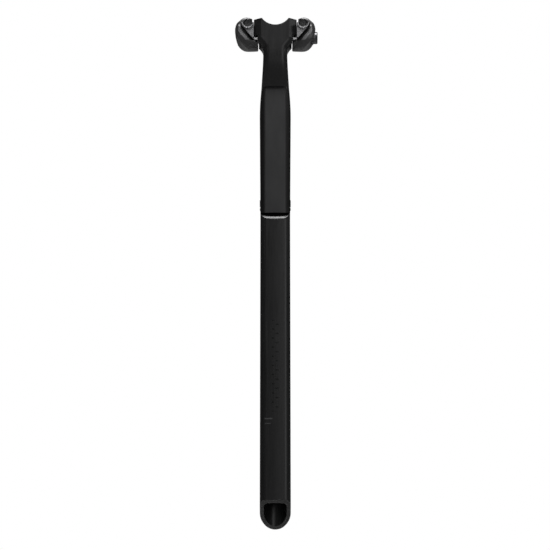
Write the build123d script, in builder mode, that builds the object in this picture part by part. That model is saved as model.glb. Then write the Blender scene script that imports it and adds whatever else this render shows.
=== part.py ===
from build123d import *
import os
from math import asin, atan2, cos, degrees, hypot, pi, radians, sin, tan

os.makedirs("parts", exist_ok=True)

# Bicycle seatpost: D-section carbon shaft, elastomer flex insert and a side clamp for saddle rails.
# The shaft stands along +Z with its tail tip at the origin, the rear of the bicycle is -Y,
# and the head of the clamp bolt is on the +X side. All sizes are in millimetres.

# Shaft: a D-section with a slightly bowed rear face, rounded rear corners and an oval nose
shaft_width = 23.1
shaft_depth = 25.0
shaft_nose = 14.0
shaft_length = 236.2
rear_corner = 4.6
rear_bow = 0.6
wall = 3.0
bore_cap = 10.2
tail_drop = 19.6

# Flex zone: the rear is cut away above a slanted ledge, and the sides swell a little
flex_length = 109.0
bulge_rise = 84.8
bulge_swell = 0.7
recess_depth = 9.0
recess_corner = 5.0
ledge_ease = 2.4
ledge_ease_slope = 70.0
ledge_round = 9.0

# Elastomer insert in the cut-away, with short grip ribs at the sides of its lower end
insert_fit = 0.12
insert_foot_lift = 5.0
insert_foot_inset = 1.4
insert_foot_round = 0.8
rib_rise = 7.4
rib_pitch = 6.5
rib_length = 4.6
rib_proud = 0.4

# Neck, set back behind the shaft
neck_length = 27.0
neck_width = 19.0
neck_nose = 9.0
neck_bow = 0.05
setback = 12.0
front_sweep = 27.0

# T-shaped head with a scooped top and slanted flanks at its rear corners
flare_rise = 10.3
bolt_rise = 14.4
head_web = 1.4
scoop_depth = 5.6
scoop_width = 21.2
flank_width = 5.8
flank_depth = 3.9

# Clamp bolt, its washer and the barrel that it passes through
bolt_diameter = 6.0
bolt_clearance = 0.15
thread_clearance = 0.05
bolt_end_inset = 2.0
bolt_tip_chamfer = 0.6
bolt_head_diameter = 9.6
bolt_head_height = 3.3
bolt_head_chamfer = 0.5
bolt_socket_flats = 5.0
bolt_socket_depth = 2.2
washer_diameter = 11.0
washer_thickness = 0.8
barrel_diameter = 10.0
bond_gap = 0.03

# Saddle rails held by the clamp
rail_diameter = 7.0
rail_spacing = 44.0

# Length of the cradles and the jaws along the rails
clamp_length = 26.0

# Cradles between the head and the rails: a half tube for the rail on a wedge
cradle_play = 0.1
cradle_wall = 1.4
cradle_web = 1.55
cradle_foot = 1.2
cradle_foot_web = 0.95
cradle_step = 1.0
rim_chamfer = 0.8

# Jaws hooked over the rails, each with a tongue under the head
jaw_gap = 0.6
jaw_end_wall = 1.4
jaw_bulge = 3.3
jaw_waist_rise = 6.2
jaw_shoulder_reach = 1.8
jaw_shoulder_bevel = 4.3
jaw_corner = 3.0
lip_thickness = 2.5
lip_tip_gap = 1.0
lip_round = 1.1
tongue_reach = 3.5
tongue_slope = 20.0
tongue_thickness = 4.6
belly_margin = 1.0
belly_flat = 2.0
spotface_depth = 2.6
spotface_margin = 0.4

# Pockets under the head in which the tongues swing
pocket_clearance = 0.4
pocket_drop = 1.5

# How far cutting shapes reach past the faces that they cut
cut_margin = 4.0

# Places that follow from the sizes, from the tail up and from the bolt out
half_shaft = shaft_width / 2
half_neck = neck_width / 2
rear_face = -shaft_depth / 2
front_face = shaft_depth / 2
rear_edge = rear_face - rear_bow
head_rear = rear_face - setback
head_front = front_face - setback
ledge_height = shaft_length
bulge_height = ledge_height + bulge_rise
insert_top_height = ledge_height + flex_length
neck_top_height = insert_top_height + neck_length
flare_top_height = neck_top_height + flare_rise
bolt_radius = bolt_diameter / 2
bolt_hole_radius = bolt_radius + bolt_clearance
barrel_radius = barrel_diameter / 2
rail_radius = rail_diameter / 2
rail_x = rail_spacing / 2
cradle_radius = rail_radius + cradle_wall
cradle_inner = rail_x - cradle_radius
cradle_outer = rail_x + cradle_radius
half_head = cradle_inner - cradle_play
bolt_axis_height = neck_top_height + bolt_rise
clamp_y = -setback
clamp_centre = (0, clamp_y, bolt_axis_height)
scoop_floor_height = bolt_axis_height + barrel_radius + head_web
head_peak_height = scoop_floor_height + scoop_depth

# Ovals are drawn with tangent arcs that meet where the outline has turned by this angle
oval_turn = 48.0


def oval_radii(half_span, rise):
    """Radii of the end arc and the side arcs of a half oval."""
    grade = 1 / tan(radians(oval_turn) / 2)
    end = (grade * half_span - rise) / (grade - 1)
    side = (half_span - end * cos(radians(oval_turn))) / (1 - cos(radians(oval_turn)))
    return end, side


def ease(share):
    """A smooth rise from 0 to 1 that starts and ends level."""
    share = min(max(share, 0.0), 1.0)
    return (1 - cos(pi * share)) / 2


def d_section(height, half_width, rear, front, nose, bow, corner):
    """A D-shaped face at a height, with an oval nose in front and rounded rear corners."""
    nose_start = front - nose
    end, side = oval_radii(half_width, nose)
    with BuildSketch(Plane.XY.offset(height)) as section:
        with BuildLine():
            CenterArc((half_width - side, nose_start), side, 0, oval_turn)
            CenterArc((0, front - end), end, oval_turn, 180 - 2 * oval_turn)
            CenterArc((side - half_width, nose_start), side, 180 - oval_turn, oval_turn)
            Line((-half_width, nose_start), (-half_width, rear))
            ThreePointArc((-half_width, rear), (0, rear - bow), (half_width, rear))
            Line((half_width, rear), (half_width, nose_start))
        make_face()
        fillet(section.vertices().group_by(Axis.Y)[0], corner)
    return section.sketch


def head_outline(height):
    """The head's face at a height: a D-shape with flanks in place of round rear corners."""
    nose_start = head_front - neck_nose
    end, side = oval_radii(half_head, neck_nose)
    flank_end = head_rear + flank_depth
    flank_x = half_head - flank_width
    with BuildSketch(Plane.XY.offset(height)) as section:
        with BuildLine():
            CenterArc((half_head - side, nose_start), side, 0, oval_turn)
            CenterArc((0, head_front - end), end, oval_turn, 180 - 2 * oval_turn)
            CenterArc((side - half_head, nose_start), side, 180 - oval_turn, oval_turn)
            Polyline(
                (-half_head, nose_start),
                (-half_head, flank_end),
                (-flank_x, head_rear),
                (flank_x, head_rear),
                (half_head, flank_end),
                (half_head, nose_start),
            )
        make_face()
    return section.sketch


def flare_section(share):
    """The flare's section at a share of its rise, hollow between the neck and the head."""
    height = neck_top_height + flare_rise * share
    half_width = half_neck + (half_head - half_neck) * share**2
    return d_section(height, half_width, head_rear, head_front, neck_nose, neck_bow, rear_corner)


def upper_section(height):
    """The post's section between the bulge and the top of the neck."""
    waisted = ease((height - bulge_height) / (neck_top_height - bulge_height))
    swept = ease((height - insert_top_height + front_sweep) / (neck_length + front_sweep))
    climbed = max((height - insert_top_height) / neck_length, 0.0)
    swell = bulge_swell * (1 - waisted)
    half_width = half_shaft * (1 - waisted) + half_neck * waisted + swell
    rear = rear_face - setback * (1 - (1 - climbed) ** 2) - swell
    front = front_face - setback * swept + swell
    nose = shaft_nose * (1 - swept) + neck_nose * swept + swell
    bow = rear_bow * (1 - swept) + neck_bow * swept
    return d_section(height, half_width, rear, front, nose, bow, rear_corner + swell)


def cutaway_outline(inset, foot_start, foot_end, foot_round):
    """Side view of the cut-away, drawn in by an inset, with a foot that runs in from behind to the slope."""
    floor = rear_face + recess_depth - inset
    top = insert_top_height - inset * 2**0.5
    foot_y, foot_z = foot_end
    with BuildSketch(Plane.YZ.offset(-shaft_width)) as outline:
        with BuildLine():
            Polyline(
                (head_rear, top),
                foot_start,
                foot_end,
                (floor, foot_z + floor - foot_y),
                (floor, top - floor + rear_edge),
                (rear_edge, top),
                close=True,
            )
        make_face()
        fillet(outline.vertices().group_by(Axis.X)[-1], recess_corner - inset)
        fillet(outline.vertices().sort_by_distance(foot_end)[0], foot_round)
    return outline.sketch


# Outer form of the flex zone and the neck, shared by the post and the insert
bulge_span = insert_top_height - bulge_height
bulge_sections = [upper_section(bulge_height + bulge_span * step / 3) for step in range(1, 4)]
neck_sections = [upper_section(insert_top_height + neck_length * step / 5) for step in range(6)]
shaft_section = d_section(0, half_shaft, rear_face, front_face, shaft_nose, rear_bow, rear_corner)
ledge_section = shaft_section.moved(Location((0, 0, ledge_height)))
swell_slope = degrees(atan2(bulge_swell, bulge_rise))

with BuildPart() as upper_form:
    extrude(ledge_section, amount=bulge_rise, taper=-swell_slope)
    # The right half is the left one's mirror image
    split(bisect_by=Plane.YZ, keep=Keep.BOTTOM)
    mirror(about=Plane.YZ)
    bulge_face = upper_form.faces().sort_by(Axis.Z)[-1]
    loft(sections=[bulge_face, *bulge_sections])
    loft(sections=neck_sections)

# Sections of the shaft's bore and the head
bore_section = d_section(
    0,
    half_shaft - wall,
    rear_face + wall,
    front_face - wall,
    shaft_nose - wall,
    rear_bow,
    rear_corner - wall / 2,
)
flare_sections = [flare_section(step / 3) for step in range(3)]
head_section = head_outline(flare_top_height)

# The ledge's rear edge is eased before its slope, and the insert's foot stands level above it
ease_grade = tan(radians(ledge_ease_slope))
ease_start = (head_rear, ledge_height - (rear_edge - head_rear) * ease_grade)
ease_end = (rear_edge + ledge_ease / ease_grade, ledge_height + ledge_ease)
recess_outline = cutaway_outline(0, ease_start, ease_end, ledge_round)
foot_height = ledge_height + insert_foot_lift
foot_start = (head_rear, foot_height)
foot_end = (rear_edge + insert_foot_inset, foot_height)
insert_outline = cutaway_outline(insert_fit, foot_start, foot_end, insert_foot_round)

# Clamp profiles lie across the rails, seen from the rear with the bolt axis at their origin
clamp_plane = Plane(origin=clamp_centre, x_dir=(1, 0, 0), z_dir=(0, -1, 0))
side_plane = Plane(origin=clamp_centre, x_dir=(0, 1, 0), z_dir=(1, 0, 0))
bolt_hole_place = Location(clamp_centre, (0, 90, 0))
rail_rise = bolt_hole_radius + cradle_web + rail_radius
cradle_floor = bolt_hole_radius + cradle_foot_web
foot_corner_x = cradle_inner + cradle_foot

# The wedge's outer face runs from the foot's corner to the half tube and touches it
wedge_rise = rail_rise + cradle_floor
wedge_run = rail_x - foot_corner_x
wedge_turn = atan2(wedge_rise, wedge_run) - asin(cradle_radius / hypot(wedge_run, wedge_rise))
wedge_side_x = sin(wedge_turn)
wedge_side_z = -cos(wedge_turn)
wedge_top = (rail_x + cradle_radius * wedge_side_x, rail_rise + cradle_radius * wedge_side_z)

# The jaw's inner face follows the cradle at a gap, and its tongue falls towards the post's middle
room_radius = cradle_radius + jaw_gap
room_top = (rail_x + room_radius * wedge_side_x, rail_rise + room_radius * wedge_side_z)
throat_x = foot_corner_x + jaw_gap * wedge_side_x
throat_drop = cradle_floor - jaw_gap * wedge_side_z
jaw_inner = half_head - tongue_reach
jaw_end = cradle_outer + jaw_gap + jaw_end_wall
jaw_outer = jaw_end + jaw_bulge
jaw_top = rail_rise + rail_radius + lip_thickness
tongue_drop = throat_drop + (throat_x - jaw_inner) * tan(radians(tongue_slope))
lobe_radius = tongue_drop + tongue_thickness
belly_drop = lobe_radius + belly_margin

# Post: shaft, flex zone, neck and head moulded in one
with BuildPart() as post:
    add(upper_form.part)
    extrude(shaft_section, amount=shaft_length)
    # Flare from the neck out to the head, and the head block
    loft(sections=[*flare_sections, head_section])
    extrude(head_section, amount=head_peak_height - flare_top_height)
    # Scoop across the top
    with BuildSketch(Plane.XZ.offset(-head_front - cut_margin)):
        with BuildLine():
            peak_x = scoop_width / 2
            above = head_peak_height + cut_margin
            Polyline(
                (-peak_x, head_peak_height),
                (-peak_x, above),
                (peak_x, above),
                (peak_x, head_peak_height),
            )
            ThreePointArc(
                (peak_x, head_peak_height),
                (0, scoop_floor_height),
                (-peak_x, head_peak_height),
            )
        make_face()
    extrude(amount=shaft_depth + 2 * cut_margin, mode=Mode.SUBTRACT)
    # Cut-away for the insert
    extrude(recess_outline, amount=2 * shaft_width, mode=Mode.SUBTRACT)
    # Bore of the shaft, open at the tail
    extrude(bore_section, amount=shaft_length - bore_cap, mode=Mode.SUBTRACT)
    # Slanted tail
    with BuildSketch(Plane.YZ.offset(-shaft_width)):
        with BuildLine():
            Polyline(
                (front_face, 0),
                (rear_face, tail_drop),
                (rear_face - cut_margin, tail_drop),
                (rear_face - cut_margin, -cut_margin),
                (front_face, -cut_margin),
                close=True,
            )
        make_face()
    extrude(amount=2 * shaft_width, mode=Mode.SUBTRACT)
    # Bore for the cross barrel
    with Locations(bolt_hole_place):
        Cylinder(barrel_radius + bond_gap, 2 * half_head + cut_margin, mode=Mode.SUBTRACT)
    # Pockets under the head for the tongues
    with BuildSketch(side_plane.offset(jaw_inner - pocket_clearance)):
        pocket_radius = lobe_radius + pocket_clearance
        Circle(pocket_radius)
        with Locations((0, -pocket_drop)):
            Rectangle(2 * pocket_radius, pocket_radius, align=(Align.CENTER, Align.MAX), mode=Mode.INTERSECT)
    pocket = extrude(amount=half_head, mode=Mode.SUBTRACT)
    mirror(pocket, about=Plane.YZ, mode=Mode.SUBTRACT)

post.part.label = "post"
export_step(post.part, "parts/post.step")

# Grip ribs: short bands of a section that is wider than the insert and lies inside its rear face
rib_heights = [ledge_height + rib_rise + rib_pitch * step for step in range(2)]
rib_sections = [
    d_section(
        height - rib_length / 2,
        half_shaft + bulge_swell * (height - ledge_height) / bulge_rise + rib_proud,
        rear_face + rib_proud,
        front_face,
        shaft_nose,
        rear_bow,
        rear_corner,
    )
    for height in rib_heights
]
with BuildPart() as grip_ribs:
    for section in rib_sections:
        extrude(section, amount=rib_length)
    extrude(insert_outline, amount=2 * shaft_width, mode=Mode.INTERSECT)

# Flex insert: elastomer slab behind the leaf, flush with the post's outside
with BuildPart() as flex_insert:
    add(upper_form.part)
    extrude(insert_outline, amount=2 * shaft_width, mode=Mode.INTERSECT)
    add(grip_ribs.part)

flex_insert.part.label = "flex_insert"
export_step(flex_insert.part, "parts/flex_insert.step")

# Cross barrel: metal tube bonded across the head, which the clamp bolt passes through
with BuildPart() as cross_barrel:
    with Locations(bolt_hole_place):
        Cylinder(barrel_radius, 2 * half_head)
        Cylinder(bolt_hole_radius, 2 * half_head, mode=Mode.SUBTRACT)

cross_barrel.part.label = "cross_barrel"
export_step(cross_barrel.part, "parts/cross_barrel.step")

# Right cradle: a half tube under the rail, longer than the wedge that carries it beside the head
with BuildPart() as right_cradle:
    with BuildSketch(clamp_plane.offset(-clamp_length / 2)):
        with BuildLine():
            Line((rail_x - rail_radius, rail_rise), (cradle_inner, rail_rise))
            CenterArc((rail_x, rail_rise), cradle_radius, 180, 180)
            Line((cradle_outer, rail_rise), (rail_x + rail_radius, rail_rise))
            CenterArc((rail_x, rail_rise), rail_radius, 180, 180)
        make_face()
    extrude(amount=clamp_length)
    # Broken edges where the rail enters and leaves the groove
    groove_ends = right_cradle.edges().filter_by(GeomType.CIRCLE)
    chamfer(groove_ends.filter_by(lambda edge: edge.radius < cradle_radius), rim_chamfer)
    with BuildSketch(clamp_plane.offset(cradle_step - clamp_length / 2)):
        with BuildLine():
            Polyline(
                (cradle_inner, rail_rise),
                (cradle_inner, -cradle_floor),
                (foot_corner_x, -cradle_floor),
                wedge_top,
            )
            wedge_arc = 90 - degrees(wedge_turn)
            CenterArc((rail_x, rail_rise), cradle_radius, 180, 180 - wedge_arc)
        make_face()
    extrude(amount=clamp_length - 2 * cradle_step)
    with Locations(bolt_hole_place):
        Cylinder(bolt_hole_radius, 2 * cradle_outer, mode=Mode.SUBTRACT)

right_cradle.part.label = "right_cradle"
export_step(right_cradle.part, "parts/right_cradle.step")

# Left cradle: the right one's mirror image
with BuildPart() as left_cradle:
    mirror(right_cradle.part, about=Plane.YZ)

left_cradle.part.label = "left_cradle"
export_step(left_cradle.part, "parts/left_cradle.step")

# Jaw forging: a hook over the rail, a belly round the bolt and a tongue under the head
with BuildPart() as jaw_forging:
    with BuildSketch(clamp_plane.offset(-clamp_length / 2)) as hook:
        with BuildLine():
            hook_angle = degrees(asin(jaw_gap / rail_radius))
            hook_x = rail_x + rail_radius * cos(radians(hook_angle))
            belly_x = jaw_inner + belly_flat
            shoulder_x = rail_x - jaw_shoulder_reach
            belly_end, belly_side = oval_radii(jaw_outer - belly_x, jaw_waist_rise + belly_drop)
            shoulder_end, shoulder_side = oval_radii(jaw_outer - shoulder_x, jaw_top - jaw_waist_rise)
            # Underside of the hook, the clearance round the cradle and the tongue
            Polyline(
                (shoulder_x, jaw_top),
                (half_head + lip_tip_gap, jaw_top),
                (half_head + lip_tip_gap, rail_rise + rail_radius),
                (rail_x, rail_rise + rail_radius),
            )
            CenterArc((rail_x, rail_rise), rail_radius, hook_angle, 90 - hook_angle)
            Polyline(
                (hook_x, rail_rise + jaw_gap),
                (rail_x + room_radius, rail_rise + jaw_gap),
                (rail_x + room_radius, rail_rise),
            )
            CenterArc((rail_x, rail_rise), room_radius, 0, degrees(wedge_turn) - 90)
            Polyline(
                room_top,
                (throat_x, -throat_drop),
                (jaw_inner, -tongue_drop),
                (jaw_inner, -belly_drop),
                (belly_x, -belly_drop),
            )
            # Outside of the belly and the shoulder
            CenterArc((belly_x, belly_end - belly_drop), belly_end, 270, 90 - oval_turn)
            CenterArc((jaw_outer - belly_side, jaw_waist_rise), belly_side, -oval_turn, oval_turn)
            CenterArc((jaw_outer - shoulder_side, jaw_waist_rise), shoulder_side, 0, oval_turn)
            CenterArc((shoulder_x, jaw_top - shoulder_end), shoulder_end, oval_turn, 90 - oval_turn)
        make_face()
        fillet(hook.vertices().sort_by(Axis.X).group_by(Axis.Y)[-1][0], lip_round)
    extrude(amount=clamp_length)
    # Side view: as long as the cradle at the rail, narrowing to a round lobe about the bolt
    with BuildSketch(side_plane) as jaw_side:
        with BuildLine():
            Polyline(
                (-lobe_radius, 0),
                (-clamp_length / 2, jaw_waist_rise),
                (-clamp_length / 2, jaw_top),
                (clamp_length / 2, jaw_top),
                (clamp_length / 2, jaw_waist_rise),
                (lobe_radius, 0),
                close=True,
            )
        make_face()
        fillet(jaw_side.vertices().group_by(Axis.Y)[-1], jaw_corner)
        Circle(lobe_radius)
    extrude(amount=jaw_outer, mode=Mode.INTERSECT)
    # Outside turned about an upright axis: it bulges from the ends to the middle and has a bevelled shoulder
    bulge_radius = (clamp_length**2 / 4 + jaw_bulge**2) / (2 * jaw_bulge)
    bulge_axis_x = jaw_outer - bulge_radius
    above = jaw_top + cut_margin
    with BuildSketch(clamp_plane):
        with BuildLine():
            Polyline(
                (bulge_axis_x, above),
                (bulge_axis_x, -belly_drop - cut_margin),
                (jaw_outer, -belly_drop - cut_margin),
                (jaw_outer, jaw_top - jaw_shoulder_bevel),
                (jaw_outer - jaw_shoulder_bevel - cut_margin, above),
                close=True,
            )
        make_face()
    revolve(axis=Axis((bulge_axis_x, clamp_y, 0), (0, 0, 1)), mode=Mode.INTERSECT)

# Right jaw: clearance hole and a spot-face for the washer and the bolt head
washer_x = jaw_outer - spotface_depth
with BuildPart() as right_jaw:
    add(jaw_forging.part)
    with Locations(bolt_hole_place):
        Cylinder(bolt_hole_radius, 2 * jaw_outer, mode=Mode.SUBTRACT)
    with BuildSketch(side_plane.offset(washer_x)):
        Circle(washer_diameter / 2 + spotface_margin)
    extrude(amount=spotface_depth + cut_margin, mode=Mode.SUBTRACT)

right_jaw.part.label = "right_jaw"
export_step(right_jaw.part, "parts/right_jaw.step")

# Left jaw: threaded for the bolt
with BuildPart() as left_jaw:
    mirror(jaw_forging.part, about=Plane.YZ)
    with Locations(bolt_hole_place):
        Cylinder(bolt_radius + thread_clearance, 2 * jaw_outer, mode=Mode.SUBTRACT)

left_jaw.part.label = "left_jaw"
export_step(left_jaw.part, "parts/left_jaw.step")

# Washer under the bolt head
with BuildPart() as bolt_washer:
    with BuildSketch(side_plane.offset(washer_x)):
        Circle(washer_diameter / 2)
        Circle(bolt_hole_radius, mode=Mode.SUBTRACT)
    extrude(amount=washer_thickness)

bolt_washer.part.label = "bolt_washer"
export_step(bolt_washer.part, "parts/bolt_washer.step")

# Clamp bolt: low socket head on the right, its tip just inside the left jaw's outer face
head_seat_x = washer_x + washer_thickness
bolt_tip_x = bolt_end_inset - jaw_outer
with BuildPart() as clamp_bolt:
    with BuildSketch(side_plane.offset(bolt_tip_x)):
        Circle(bolt_radius)
    extrude(amount=head_seat_x - bolt_tip_x)
    with BuildSketch(side_plane.offset(head_seat_x)):
        Circle(bolt_head_diameter / 2)
    extrude(amount=bolt_head_height)
    chamfer(clamp_bolt.edges().group_by(Axis.X)[-1], bolt_head_chamfer)
    chamfer(clamp_bolt.edges().group_by(Axis.X)[0], bolt_tip_chamfer)
    with BuildSketch(side_plane.offset(head_seat_x + bolt_head_height)):
        RegularPolygon(bolt_socket_flats / 2, 6, major_radius=False)
    extrude(amount=-bolt_socket_depth, mode=Mode.SUBTRACT)

clamp_bolt.part.label = "clamp_bolt"
export_step(clamp_bolt.part, "parts/clamp_bolt.step")
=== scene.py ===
from math import cos, pi, radians, sin

import bmesh
import bpy
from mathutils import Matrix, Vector


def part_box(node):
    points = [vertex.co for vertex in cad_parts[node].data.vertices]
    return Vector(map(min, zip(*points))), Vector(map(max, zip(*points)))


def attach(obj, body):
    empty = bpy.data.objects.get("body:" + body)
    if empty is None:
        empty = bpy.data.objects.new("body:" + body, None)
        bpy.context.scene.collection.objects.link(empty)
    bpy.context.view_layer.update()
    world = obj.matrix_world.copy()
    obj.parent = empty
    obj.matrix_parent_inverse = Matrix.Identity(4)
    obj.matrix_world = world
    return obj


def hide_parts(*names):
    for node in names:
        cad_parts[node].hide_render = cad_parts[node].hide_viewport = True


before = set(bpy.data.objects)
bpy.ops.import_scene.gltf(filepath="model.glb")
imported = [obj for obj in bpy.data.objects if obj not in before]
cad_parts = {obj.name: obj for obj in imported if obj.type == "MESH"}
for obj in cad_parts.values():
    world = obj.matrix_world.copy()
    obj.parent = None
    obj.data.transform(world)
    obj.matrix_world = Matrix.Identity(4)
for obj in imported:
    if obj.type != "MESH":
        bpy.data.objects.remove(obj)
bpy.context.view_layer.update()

# Post: one moulding of carbon fibre in resin, pressed in a D-shaped tool and finished matt.
# Fine fibres run up it under the lacquer. Two columns of gloss ticks and two thin grey bars
# are printed on its rear face, for its height in the frame.
carbon_dark = (0.003, 0.003, 0.0031)
carbon_light = (0.0056, 0.0056, 0.0058)
carbon_gloss = 0.2
carbon_roughness = 0.42
carbon_edge = 0.0004
edge_samples = 4
grain_low = 0.3
grain_high = 0.7
fibre_grain = (1600, 1600, 45)
fibre_depth = 0.000006
fibre_roughness = (0.31, 0.37)
cloud_grain = (60, 60, 25)
cloud_roughness = (-0.02, 0.03)
rear_face = -0.008
tick_black = (0.002, 0.002, 0.0021)
tick_polish = 0.09
tick_rows = (0.0857, 0.1561)
tick_pitch = 0.00704
tick_height = 0.0011
tick_columns = [(0.0014, 0.0011, 0.0), (-0.0018, 0.0007, 0.5)]
bar_grey = (0.055, 0.055, 0.057)
bar_cover = 0.5
print_bars = [(-0.0051, 0.0030, 0.0804, 0.00045), (-0.0056, 0.0022, 0.0768, 0.0003)]


def new_finish(name, colour, metallic, roughness):
    """A material with the plain values of a finish, and its shader."""
    finish = bpy.data.materials.new(name)
    finish.use_nodes = True
    shader = finish.node_tree.nodes["Principled BSDF"]
    shader.inputs["Base Color"].default_value = (*colour, 1)
    shader.inputs["Metallic"].default_value = metallic
    shader.inputs["Roughness"].default_value = roughness
    return finish, shader


def own_place(finish):
    """The place of a point on the piece, in metres."""
    return finish.node_tree.nodes.new("ShaderNodeTexCoord").outputs["Object"]


def place_parts(finish):
    """How far across, fore and up a point of the piece is, in metres."""
    parts = finish.node_tree.nodes.new("ShaderNodeSeparateXYZ")
    finish.node_tree.links.new(own_place(finish), parts.inputs[0])
    return parts.outputs


def grain(finish, stretch, detail):
    """Noise with its own number of grains to a metre along each axis."""
    tree = finish.node_tree
    drawn = tree.nodes.new("ShaderNodeMapping")
    drawn.inputs["Scale"].default_value = stretch
    noise = tree.nodes.new("ShaderNodeTexNoise")
    noise.inputs["Scale"].default_value = 1
    noise.inputs["Detail"].default_value = detail
    tree.links.new(own_place(finish), drawn.inputs["Vector"])
    tree.links.new(drawn.outputs["Vector"], noise.inputs["Vector"])
    return noise.outputs["Fac"]


def spread(finish, share, low, high, start=grain_low, end=grain_high):
    """A value that runs from low to high while the share goes from start to end."""
    tree = finish.node_tree
    ranged = tree.nodes.new("ShaderNodeMapRange")
    ranged.inputs["From Min"].default_value = start
    ranged.inputs["From Max"].default_value = end
    ranged.inputs["To Min"].default_value = low
    ranged.inputs["To Max"].default_value = high
    tree.links.new(share, ranged.inputs["Value"])
    return ranged.outputs["Result"]


def tint(finish, share, dark, light):
    """A colour between two, given as colours or as other tints."""
    tree = finish.node_tree
    mix = tree.nodes.new("ShaderNodeMix")
    mix.data_type = "RGBA"
    tree.links.new(share, mix.inputs[0])
    for socket, colour in ((mix.inputs[6], dark), (mix.inputs[7], light)):
        if isinstance(colour, tuple):
            socket.default_value = (*colour, 1)
        else:
            tree.links.new(colour, socket)
    return mix.outputs[2]


def work(finish, sort, *values):
    """One step of arithmetic on numbers or sockets."""
    tree = finish.node_tree
    step = tree.nodes.new("ShaderNodeMath")
    step.operation = sort
    for socket, value in zip(step.inputs, values):
        if isinstance(value, (int, float)):
            socket.default_value = value
        else:
            tree.links.new(value, socket)
    return step.outputs[0]


def shade(finish, shader, colour, roughness):
    """Gives a finish its colour and its roughness."""
    finish.node_tree.links.new(colour, shader.inputs["Base Color"])
    finish.node_tree.links.new(roughness, shader.inputs["Roughness"])


def emboss(finish, shader, height, depth, edge=0.0):
    """Relief of a depth in metres, with sharp edges eased by a small radius."""
    tree = finish.node_tree
    relief = tree.nodes.new("ShaderNodeBump")
    relief.inputs["Strength"].default_value = 1
    relief.inputs["Distance"].default_value = depth
    tree.links.new(height, relief.inputs["Height"])
    if edge:
        eased = tree.nodes.new("ShaderNodeBevel")
        eased.samples = edge_samples
        eased.inputs["Radius"].default_value = edge
        tree.links.new(eased.outputs["Normal"], relief.inputs["Normal"])
    tree.links.new(relief.outputs["Normal"], shader.inputs["Normal"])


def dress(node, finish):
    """Gives a piece of the frame its finish."""
    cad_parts[node].material_slots[0].material = finish


matt_carbon, shader = new_finish("matt_carbon", carbon_dark, metallic=0, roughness=carbon_roughness)
shader.inputs["Specular IOR Level"].default_value = carbon_gloss
fibres = grain(matt_carbon, fibre_grain, detail=4)
clouds = grain(matt_carbon, cloud_grain, detail=2)
across, fore, up = place_parts(matt_carbon)
on_rear = work(matt_carbon, "LESS_THAN", fore, rear_face)
tick_middle = sum(tick_rows) / 2
in_rows = work(matt_carbon, "COMPARE", up, tick_middle, tick_rows[1] - tick_middle)
columns = []
for middle, half, lag in tick_columns:
    foot = tick_rows[0] - lag * tick_pitch
    step_up = work(matt_carbon, "WRAP", up, foot + tick_pitch, foot)
    on_step = work(matt_carbon, "COMPARE", step_up, foot + tick_pitch / 2, tick_height / 2)
    in_column = work(matt_carbon, "COMPARE", across, middle, half)
    columns.append(work(matt_carbon, "MULTIPLY", on_step, in_column))
ticks = work(matt_carbon, "MULTIPLY", in_rows, work(matt_carbon, "MAXIMUM", *columns))
ticks = work(matt_carbon, "MULTIPLY", ticks, on_rear)
bars = []
for middle, half, height, half_height in print_bars:
    wide = work(matt_carbon, "COMPARE", across, middle, half)
    high = work(matt_carbon, "COMPARE", up, height, half_height)
    bars.append(work(matt_carbon, "MULTIPLY", wide, high))
bars_on_rear = work(matt_carbon, "MULTIPLY", work(matt_carbon, "MAXIMUM", *bars), on_rear)
lacquer = tint(matt_carbon, spread(matt_carbon, fibres, 0, 1), carbon_dark, carbon_light)
bar_ink = work(matt_carbon, "MULTIPLY", bars_on_rear, bar_cover)
printed = tint(matt_carbon, bar_ink, lacquer, bar_grey)
marked = tint(matt_carbon, ticks, printed, tick_black)
fibre_dull = spread(matt_carbon, fibres, *fibre_roughness)
cloud_dull = spread(matt_carbon, clouds, *cloud_roughness)
dull = work(matt_carbon, "ADD", fibre_dull, cloud_dull)
polish = work(matt_carbon, "MULTIPLY", ticks, tick_polish)
shade(matt_carbon, shader, marked, work(matt_carbon, "SUBTRACT", dull, polish))
emboss(matt_carbon, shader, fibres, fibre_depth, carbon_edge)
dress("post", matt_carbon)

# Flex insert: a slab of dark elastomer, moulded to shape and bonded in the cut-away behind the leaf.
# Its skin has a fine even stipple from the tool and is a little greyer than the carbon.
# Its side and top rims are painted black: painted shade where the sides round away and in the line under
# the neck.
rubber_dark = (0.011, 0.011, 0.0113)
rubber_light = (0.017, 0.017, 0.0174)
rubber_gloss = 0.1
rubber_roughness = 0.5
rubber_edge = 0.0005
stipple_grain = (2600, 2600, 2600)
stipple_depth = 0.00003
stipple_roughness = (0.46, 0.56)
bloom_grain = (90, 90, 30)
# Painted shade: black rims along both sides and along the top edge of the insert.
painted_shade_black = (0.002, 0.002, 0.0021)
painted_shade_side = (0.0073, 0.0088)
painted_shade_top = (0.3424, 0.3438)
elastomer, shader = new_finish("elastomer", rubber_dark, metallic=0, roughness=rubber_roughness)
shader.inputs["Specular IOR Level"].default_value = rubber_gloss
stipple = grain(elastomer, stipple_grain, detail=2)
bloom = grain(elastomer, bloom_grain, detail=3)
skin = tint(elastomer, spread(elastomer, bloom, 0, 1), rubber_dark, rubber_light)
across, _, up = place_parts(elastomer)
# Painted shade: the skin is blackened towards its sides and its top edge.
shade_at_side = spread(elastomer, work(elastomer, "ABSOLUTE", across), 0, 1, *painted_shade_side)
shade_at_top = spread(elastomer, up, 0, 1, *painted_shade_top)
skin_with_painted_shade = tint(elastomer, work(elastomer, "MAXIMUM", shade_at_side, shade_at_top), skin, painted_shade_black)
shade(elastomer, shader, skin_with_painted_shade, spread(elastomer, stipple, *stipple_roughness))
emboss(elastomer, shader, stipple, stipple_depth, rubber_edge)
dress("flex_insert", elastomer)

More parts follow.
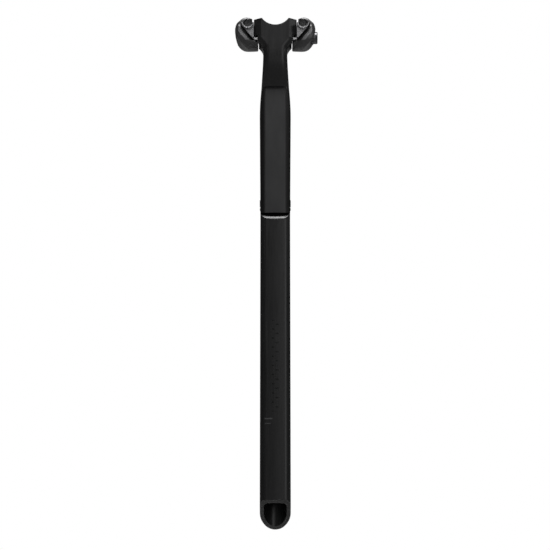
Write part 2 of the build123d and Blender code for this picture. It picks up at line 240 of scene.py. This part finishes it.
# Cross barrel: a tube of bare aluminium, turned to size and bonded across the head.
# The tool has left fine rings round it.
barrel_plain = (0.82, 0.82, 0.83)
barrel_dark = (0.72, 0.72, 0.73)
barrel_light = (0.9, 0.9, 0.91)
barrel_roughness = 0.3
ring_grain = (5200, 30, 30)
ring_depth = 0.000008
ring_roughness = (0.24, 0.38)
bright_metal, shader = new_finish("bright_metal", barrel_plain, metallic=1, roughness=barrel_roughness)
rings = grain(bright_metal, ring_grain, detail=2)
turned = tint(bright_metal, spread(bright_metal, rings, 0, 1), barrel_dark, barrel_light)
shade(bright_metal, shader, turned, spread(bright_metal, rings, *ring_roughness))
emboss(bright_metal, shader, rings, ring_depth)
dress("cross_barrel", bright_metal)

# Cradles: two blocks of aluminium, milled with a groove for the rail, blasted and anodised grey.
# They hang on the bolt, one at each side of the head.
cradle_plain = (0.12, 0.12, 0.123)
cradle_dark = (0.10, 0.10, 0.103)
cradle_light = (0.15, 0.15, 0.153)
cradle_roughness = 0.4
cradle_edge = 0.00025
cradle_patch_grain = (140, 140, 140)
cradle_blast_grain = (4200, 4200, 4200)
cradle_blast_roughness = (0.36, 0.48)
blast_depth = 0.00001
satin_grey, shader = new_finish("satin_grey", cradle_plain, metallic=1, roughness=cradle_roughness)
blast = grain(satin_grey, cradle_blast_grain, detail=2)
patches = grain(satin_grey, cradle_patch_grain, detail=2)
anodised = tint(satin_grey, spread(satin_grey, patches, 0, 1), cradle_dark, cradle_light)
shade(satin_grey, shader, anodised, spread(satin_grey, blast, *cradle_blast_roughness))
emboss(satin_grey, shader, blast, blast_depth, cradle_edge)
for cradle in ("left_cradle", "right_cradle"):
    dress(cradle, satin_grey)

# Jaws: forged aluminium hooks, blasted and anodised black, with eased edges, crowned ends and a bevel
# beside the cradle, which is painted lighter grey as a painted highlight. The bolt draws them in over the
# rails, through a plain hole in the right one and a thread in the left one.
jaw_plain = (0.02, 0.02, 0.0205)
jaw_dark = (0.010, 0.010, 0.0103)
jaw_light = (0.017, 0.017, 0.0174)
jaw_gloss = 0.35
jaw_roughness = 0.4
jaw_edge = 0.0006
jaw_patch_grain = (120, 120, 120)
jaw_blast_grain = (3600, 3600, 3600)
jaw_blast_roughness = (0.34, 0.46)
jaw_middle = -0.012
jaw_half = 0.013
jaw_grid = 0.0004
jaw_easing = 18
easing_share = 0.5
rail_across = 0.022
rail_height = 0.3948
hook_radius = 0.0052
crown_across = 0.0215
crown_height = 0.381
crown_wide = 0.009
crown_tall = 0.018
crown_share = 0.1
throat_foot_across = 0.0184
throat_foot_height = 0.3813
throat_lean = radians(51.6)
throat_band = 0.0018
throat_cut = 0.6
bevel_band = 0.0024
bevel_cut = 0.22
# Painted highlight: a lighter grey band laid on the bevel beside the cradle.
painted_highlight_grey = (0.085, 0.085, 0.087)
painted_highlight_reach = 0.0065
painted_highlight_across = 0.0292


def round_hook(point):
    """Draws the hook's tip in to a round over the rail."""
    side = abs(point.x) - rail_across
    rise = point.z - rail_height
    reach = (side**2 + rise**2) ** 0.5
    if side < 0 < rise and reach > hook_radius:
        point.x -= (side - side * hook_radius / reach) * (1 if point.x > 0 else -1)
        point.z -= rise - rise * hook_radius / reach


def crown_ends(point):
    """Rounds the jaw's two ends off towards their edges."""
    off_across = (abs(point.x) - crown_across) / crown_wide
    off_height = (point.z - crown_height) / crown_tall
    point.y -= (point.y - jaw_middle) * crown_share * (off_across**2 + off_height**2)


def bevel_throat(point):
    """Cuts both ends back along the throat, steeply at the gap and then in a flatter band."""
    off_throat = (abs(point.x) - throat_foot_across) * sin(throat_lean)
    off_throat -= (point.z - throat_foot_height) * cos(throat_lean)
    off_throat = min(max(off_throat, 0), throat_band + bevel_band)
    cut = throat_cut * max(throat_band - off_throat, 0)
    cut += bevel_cut * min(throat_band + bevel_band - off_throat, bevel_band)
    point.y -= (point.y - jaw_middle) * cut / jaw_half


black_anodised, shader = new_finish("black_anodised", jaw_plain, metallic=0, roughness=jaw_roughness)
shader.inputs["Specular IOR Level"].default_value = jaw_gloss
blast = grain(black_anodised, jaw_blast_grain, detail=2)
patches = grain(black_anodised, jaw_patch_grain, detail=3)
forged = tint(black_anodised, spread(black_anodised, patches, 0, 1), jaw_dark, jaw_light)
across, fore, up = place_parts(black_anodised)
across = work(black_anodised, "ABSOLUTE", across)
off_foot = work(black_anodised, "SUBTRACT", across, throat_foot_across)
over_foot = work(black_anodised, "SUBTRACT", up, throat_foot_height)
off_throat = work(
    black_anodised,
    "SUBTRACT",
    work(black_anodised, "MULTIPLY", off_foot, sin(throat_lean)),
    work(black_anodised, "MULTIPLY", over_foot, cos(throat_lean)),
)
off_middle = work(black_anodised, "ABSOLUTE", work(black_anodised, "SUBTRACT", fore, jaw_middle))
# Painted highlight: the bevel band is tinted lighter grey, only on the jaw ends, above the throat foot.
painted_highlight_band = work(black_anodised, "COMPARE", off_throat, throat_band + bevel_band / 2, bevel_band / 2)
for limit in (
    work(black_anodised, "GREATER_THAN", off_middle, painted_highlight_reach),
    work(black_anodised, "GREATER_THAN", over_foot, 0),
    work(black_anodised, "LESS_THAN", across, painted_highlight_across),
):
    painted_highlight_band = work(black_anodised, "MULTIPLY", painted_highlight_band, limit)
forged_with_painted_highlight = tint(black_anodised, painted_highlight_band, forged, painted_highlight_grey)
shade(black_anodised, shader, forged_with_painted_highlight, spread(black_anodised, blast, *jaw_blast_roughness))
emboss(black_anodised, shader, blast, blast_depth, jaw_edge)
for jaw in ("left_jaw", "right_jaw"):
    forging = bpy.data.objects.new(jaw + "_forging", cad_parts[jaw].data.copy())
    bpy.context.scene.collection.objects.link(forging)
    remesh = forging.modifiers.new("even_skin", "REMESH")
    remesh.mode = "VOXEL"
    remesh.voxel_size = jaw_grid
    remesh.use_smooth_shade = True
    easing = forging.modifiers.new("eased_edges", "SMOOTH")
    easing.factor = easing_share
    easing.iterations = jaw_easing
    eased = forging.evaluated_get(bpy.context.evaluated_depsgraph_get())
    forged_mesh = bpy.data.meshes.new_from_object(eased)
    for vertex in forged_mesh.vertices:
        round_hook(vertex.co)
        crown_ends(vertex.co)
        bevel_throat(vertex.co)
    forging.modifiers.clear()
    forging.data = forged_mesh
    forged_mesh.materials.clear()
    forged_mesh.materials.append(black_anodised)
    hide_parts(jaw)
    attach(forging, jaw)

# Washer: a plain ring punched from steel sheet, ground flat and blackened.
# It lies in the spot-face of the right jaw, under the head of the bolt.
steel_plain = (0.05, 0.05, 0.052)
steel_dark = (0.04, 0.04, 0.0415)
steel_light = (0.065, 0.065, 0.067)
steel_roughness = 0.34
oxide_grain = (900, 900, 900)
oxide_depth = 0.000006
oxide_roughness = (0.3, 0.42)
blackened_steel, shader = new_finish("blackened_steel", steel_plain, metallic=1, roughness=steel_roughness)
oxide = grain(blackened_steel, oxide_grain, detail=3)
steel = tint(blackened_steel, spread(blackened_steel, oxide, 0, 1), steel_dark, steel_light)
shade(blackened_steel, shader, steel, spread(blackened_steel, oxide, *oxide_roughness))
emboss(blackened_steel, shader, oxide, oxide_depth)
dress("bolt_washer", blackened_steel)

# Clamp bolt: a blackened steel socket screw from the right, with a knurled head and a hexagon socket.
# The rolled thread at its left end turns in the left jaw.
bolt_low, bolt_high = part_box("clamp_bolt")
bolt_y = (bolt_low[1] + bolt_high[1]) / 2
bolt_z = (bolt_low[2] + bolt_high[2]) / 2
bolt_tip = bolt_low[0]
bolt_end = bolt_high[0]
bolt_sides = 72
bolt_crease = radians(28)
thread_radius = 0.003
thread_pitch = 0.001
thread_depth = 0.00055
thread_length = 0.018
thread_flat = 0.125
thread_rows = 10
tip_inset = 0.0001
tip_chamfer = 0.0006
head_radius = (bolt_high[2] - bolt_low[2]) / 2
head_height = 0.0033
head_ease = 0.0002
head_edge = 0.0005
head_crown = 0.0006
knurls = 36
knurl_depth = 0.00012
knurl_foot = 0.0004
knurl_top = 0.0009
socket_flats = 0.005
socket_depth = 0.0022
socket_ease = 0.0003
socket_cone = 0.0004


def thread_height(x, angle):
    """Share of the thread's depth, from root to crest, at a place along and round the bolt."""
    phase = (x / thread_pitch - angle / (2 * pi)) % 1
    return min(max((abs(phase - 0.5) - thread_flat) / (0.5 - 2 * thread_flat), 0), 1)


def knurled(angle):
    """Radius of the knurled head."""
    return head_radius - knurl_depth * (0.5 + 0.5 * cos(knurls * angle))


def hexagon(angle):
    """Radius of the socket's hexagon."""
    return socket_flats / 2 / cos(angle % (pi / 3) - pi / 6)


thread_end = bolt_tip + thread_length
head_seat = bolt_end - head_height
rows = [(bolt_tip, lambda a: 0.0), (bolt_tip, lambda a: thread_radius - thread_depth - tip_inset)]
thread_steps = round((thread_length - tip_chamfer) / thread_pitch * thread_rows)
for step in range(thread_steps + 1):
    x = bolt_tip + tip_chamfer + (thread_length - tip_chamfer) * step / thread_steps
    runout = min(1, (thread_end - x) / thread_pitch)
    rows.append(
        (x, lambda a, x=x, r=runout: thread_radius - thread_depth * r * (1 - thread_height(x, a)))
    )
rows += [
    (head_seat - head_ease, lambda a: thread_radius),
    (head_seat, lambda a: thread_radius + head_ease),
    (head_seat, lambda a: head_radius - head_ease),
    (head_seat + head_ease, lambda a: head_radius),
    (head_seat + knurl_foot, knurled),
    (bolt_end - knurl_top, knurled),
    (bolt_end - head_crown, lambda a: head_radius),
    (bolt_end - head_crown / 2, lambda a: head_radius - head_ease),
    (bolt_end, lambda a: head_radius - head_edge),
    (bolt_end, lambda a: hexagon(a) + socket_ease),
    (bolt_end - socket_ease, hexagon),
    (bolt_end - socket_depth, hexagon),
    (bolt_end - socket_depth - socket_cone, lambda a: 0.0),
]
bolt_mesh = bmesh.new()
angles = [2 * pi * side / bolt_sides for side in range(bolt_sides)]
last_ring = None
for x, radius in rows:
    if radius(0) == 0:
        ring = [bolt_mesh.verts.new((x, bolt_y, bolt_z))]
    else:
        ring = [
            bolt_mesh.verts.new((x, bolt_y + radius(a) * cos(a), bolt_z + radius(a) * sin(a)))
            for a in angles
        ]
    if last_ring:
        for side in range(bolt_sides):
            after = (side + 1) % bolt_sides
            if len(last_ring) == 1:
                corners = (last_ring[0], ring[after], ring[side])
            elif len(ring) == 1:
                corners = (last_ring[side], last_ring[after], ring[0])
            else:
                corners = (last_ring[side], last_ring[after], ring[after], ring[side])
            bolt_mesh.faces.new(corners)
    last_ring = ring
bmesh.ops.recalc_face_normals(bolt_mesh, faces=bolt_mesh.faces)
for face in bolt_mesh.faces:
    face.smooth = True
for edge in bolt_mesh.edges:
    if edge.calc_face_angle(0) > bolt_crease:
        edge.smooth = False
socket_screw_mesh = bpy.data.meshes.new("socket_screw")
bolt_mesh.to_mesh(socket_screw_mesh)
bolt_mesh.free()
socket_screw = bpy.data.objects.new("socket_screw", socket_screw_mesh)
bpy.context.scene.collection.objects.link(socket_screw)
socket_screw.data.materials.append(blackened_steel)
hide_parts("clamp_bolt")
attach(socket_screw, "bolt")

# Studio: a wide floor of pale paper below the post, and a sheet of white paper far behind it.
# Three soft lights with grids stand in front of it, above it and at its side, under a bright ceiling
# that lights the floor.
floor_height = -0.6
floor_span = 120.0
floor_plain = (0.85, 0.85, 0.85)
floor_dark = (0.83, 0.83, 0.83)
floor_light = (0.87, 0.87, 0.87)
floor_roughness = 0.9
speckle_grain = (300, 300, 300)
backdrop_y = 4.0
backdrop_width = 2.0
backdrop_top = 2.4
backdrop_grey = (0.8, 0.8, 0.8)
white = (1, 1, 1)
ceiling_start = radians(35)
ceiling_full = radians(65)
wall_strength = 0.1
ceiling_strength = 1.2


def flat_sheet(name, centre, across, up):
    """A rectangular sheet given by its centre and its two half sides."""
    centre, across, up = Vector(centre), Vector(across), Vector(up)
    mesh = bpy.data.meshes.new(name)
    corners = [centre - across - up, centre + across - up, centre + across + up, centre - across + up]
    mesh.from_pydata(corners, [], [(0, 1, 2, 3)])
    sheet = bpy.data.objects.new(name, mesh)
    bpy.context.scene.collection.objects.link(sheet)
    return sheet


def soft_light(name, place, aim, width, height, power, beam):
    """A rectangular soft light with a grid that narrows its beam, turned to an aim."""
    lamp = bpy.data.lights.new(name, "AREA")
    lamp.shape = "RECTANGLE"
    lamp.size = width
    lamp.size_y = height
    lamp.energy = power
    lamp.spread = radians(beam)
    light = bpy.data.objects.new(name, lamp)
    light.location = place
    light.rotation_euler = (Vector(aim) - Vector(place)).to_track_quat("-Z", "Y").to_euler()
    bpy.context.scene.collection.objects.link(light)


floor = flat_sheet("floor", (0, 0, floor_height), (floor_span / 2, 0, 0), (0, floor_span / 2, 0))
floor_paper, shader = new_finish("floor_paper", floor_plain, metallic=0, roughness=floor_roughness)
speckle = grain(floor_paper, speckle_grain, detail=2)
paper = tint(floor_paper, spread(floor_paper, speckle, 0, 1), floor_dark, floor_light)
floor_paper.node_tree.links.new(paper, shader.inputs["Base Color"])
floor.data.materials.append(floor_paper)

backdrop = flat_sheet(
    "backdrop",
    (0, backdrop_y, (backdrop_top + floor_height) / 2),
    (backdrop_width / 2, 0, 0),
    (0, 0, (backdrop_top - floor_height) / 2),
)
white_paper = bpy.data.materials.new("white_paper")
white_paper.use_nodes = True
tree = white_paper.node_tree
tree.nodes.remove(tree.nodes["Principled BSDF"])
seen = tree.nodes.new("ShaderNodeLightPath")
mirrored = work(white_paper, "MAXIMUM", seen.outputs["Is Glossy Ray"], seen.outputs["Is Transmission Ray"])
shown = work(white_paper, "MAXIMUM", seen.outputs["Is Camera Ray"], mirrored)
plain = tree.nodes.new("ShaderNodeBsdfDiffuse")
plain.inputs["Color"].default_value = (*backdrop_grey, 1)
glow = tree.nodes.new("ShaderNodeEmission")
glow.inputs["Color"].default_value = (*white, 1)
glow.inputs["Strength"].default_value = 1
either = tree.nodes.new("ShaderNodeMixShader")
tree.links.new(shown, either.inputs[0])
tree.links.new(plain.outputs[0], either.inputs[1])
tree.links.new(glow.outputs[0], either.inputs[2])
tree.links.new(either.outputs[0], tree.nodes["Material Output"].inputs["Surface"])
backdrop.data.materials.append(white_paper)

soft_light(
    "front_light", place=(0.66, -1.6, 0.5), aim=(0, 0, 0.2), width=0.9, height=1.2, power=4.0, beam=120
)
soft_light(
    "top_light", place=(0, -0.3, 1.0), aim=(0, 0, 0.25), width=0.42, height=0.3, power=1.3, beam=50
)
soft_light(
    "side_light", place=(1.1, -0.3, 1.2), aim=(0, 0, 0.35), width=0.5, height=0.5, power=0.6, beam=60
)

world = bpy.data.worlds.new("studio_air")
world.use_nodes = True
tree = world.node_tree
tree.nodes["Background"].inputs["Color"].default_value = (*white, 1)
direction = tree.nodes.new("ShaderNodeSeparateXYZ")
tree.links.new(tree.nodes.new("ShaderNodeTexCoord").outputs["Generated"], direction.inputs[0])
ceiling = tree.nodes.new("ShaderNodeMapRange")
ceiling.interpolation_type = "SMOOTHSTEP"
ceiling.inputs["From Min"].default_value = sin(ceiling_start)
ceiling.inputs["From Max"].default_value = sin(ceiling_full)
ceiling.inputs["To Min"].default_value = wall_strength
ceiling.inputs["To Max"].default_value = ceiling_strength
tree.links.new(direction.outputs[2], ceiling.inputs["Value"])
tree.links.new(ceiling.outputs["Result"], tree.nodes["Background"].inputs["Strength"])
bpy.context.scene.world = world
bpy.context.scene.view_settings.view_transform = "Standard"

# Camera: a long lens on a low stand, a little below the tail.
# It looks up at the rear of the post, which stands upright in the middle of the picture.
view_distance = 1.2
view_rise = radians(14)
view_target = Vector((-0.0002, 0, 0.1946))
sensor_width = 36
lens_length = 101.2
eye = bpy.data.cameras.new("photo_camera")
eye.sensor_width = sensor_width
eye.lens = lens_length
camera = bpy.data.objects.new("photo_camera", eye)
camera.location = view_target - view_distance * Vector((0, cos(view_rise), sin(view_rise)))
camera.rotation_euler = (view_target - camera.location).to_track_quat("-Z", "Y").to_euler()
bpy.context.scene.collection.objects.link(camera)
bpy.context.scene.camera = camera
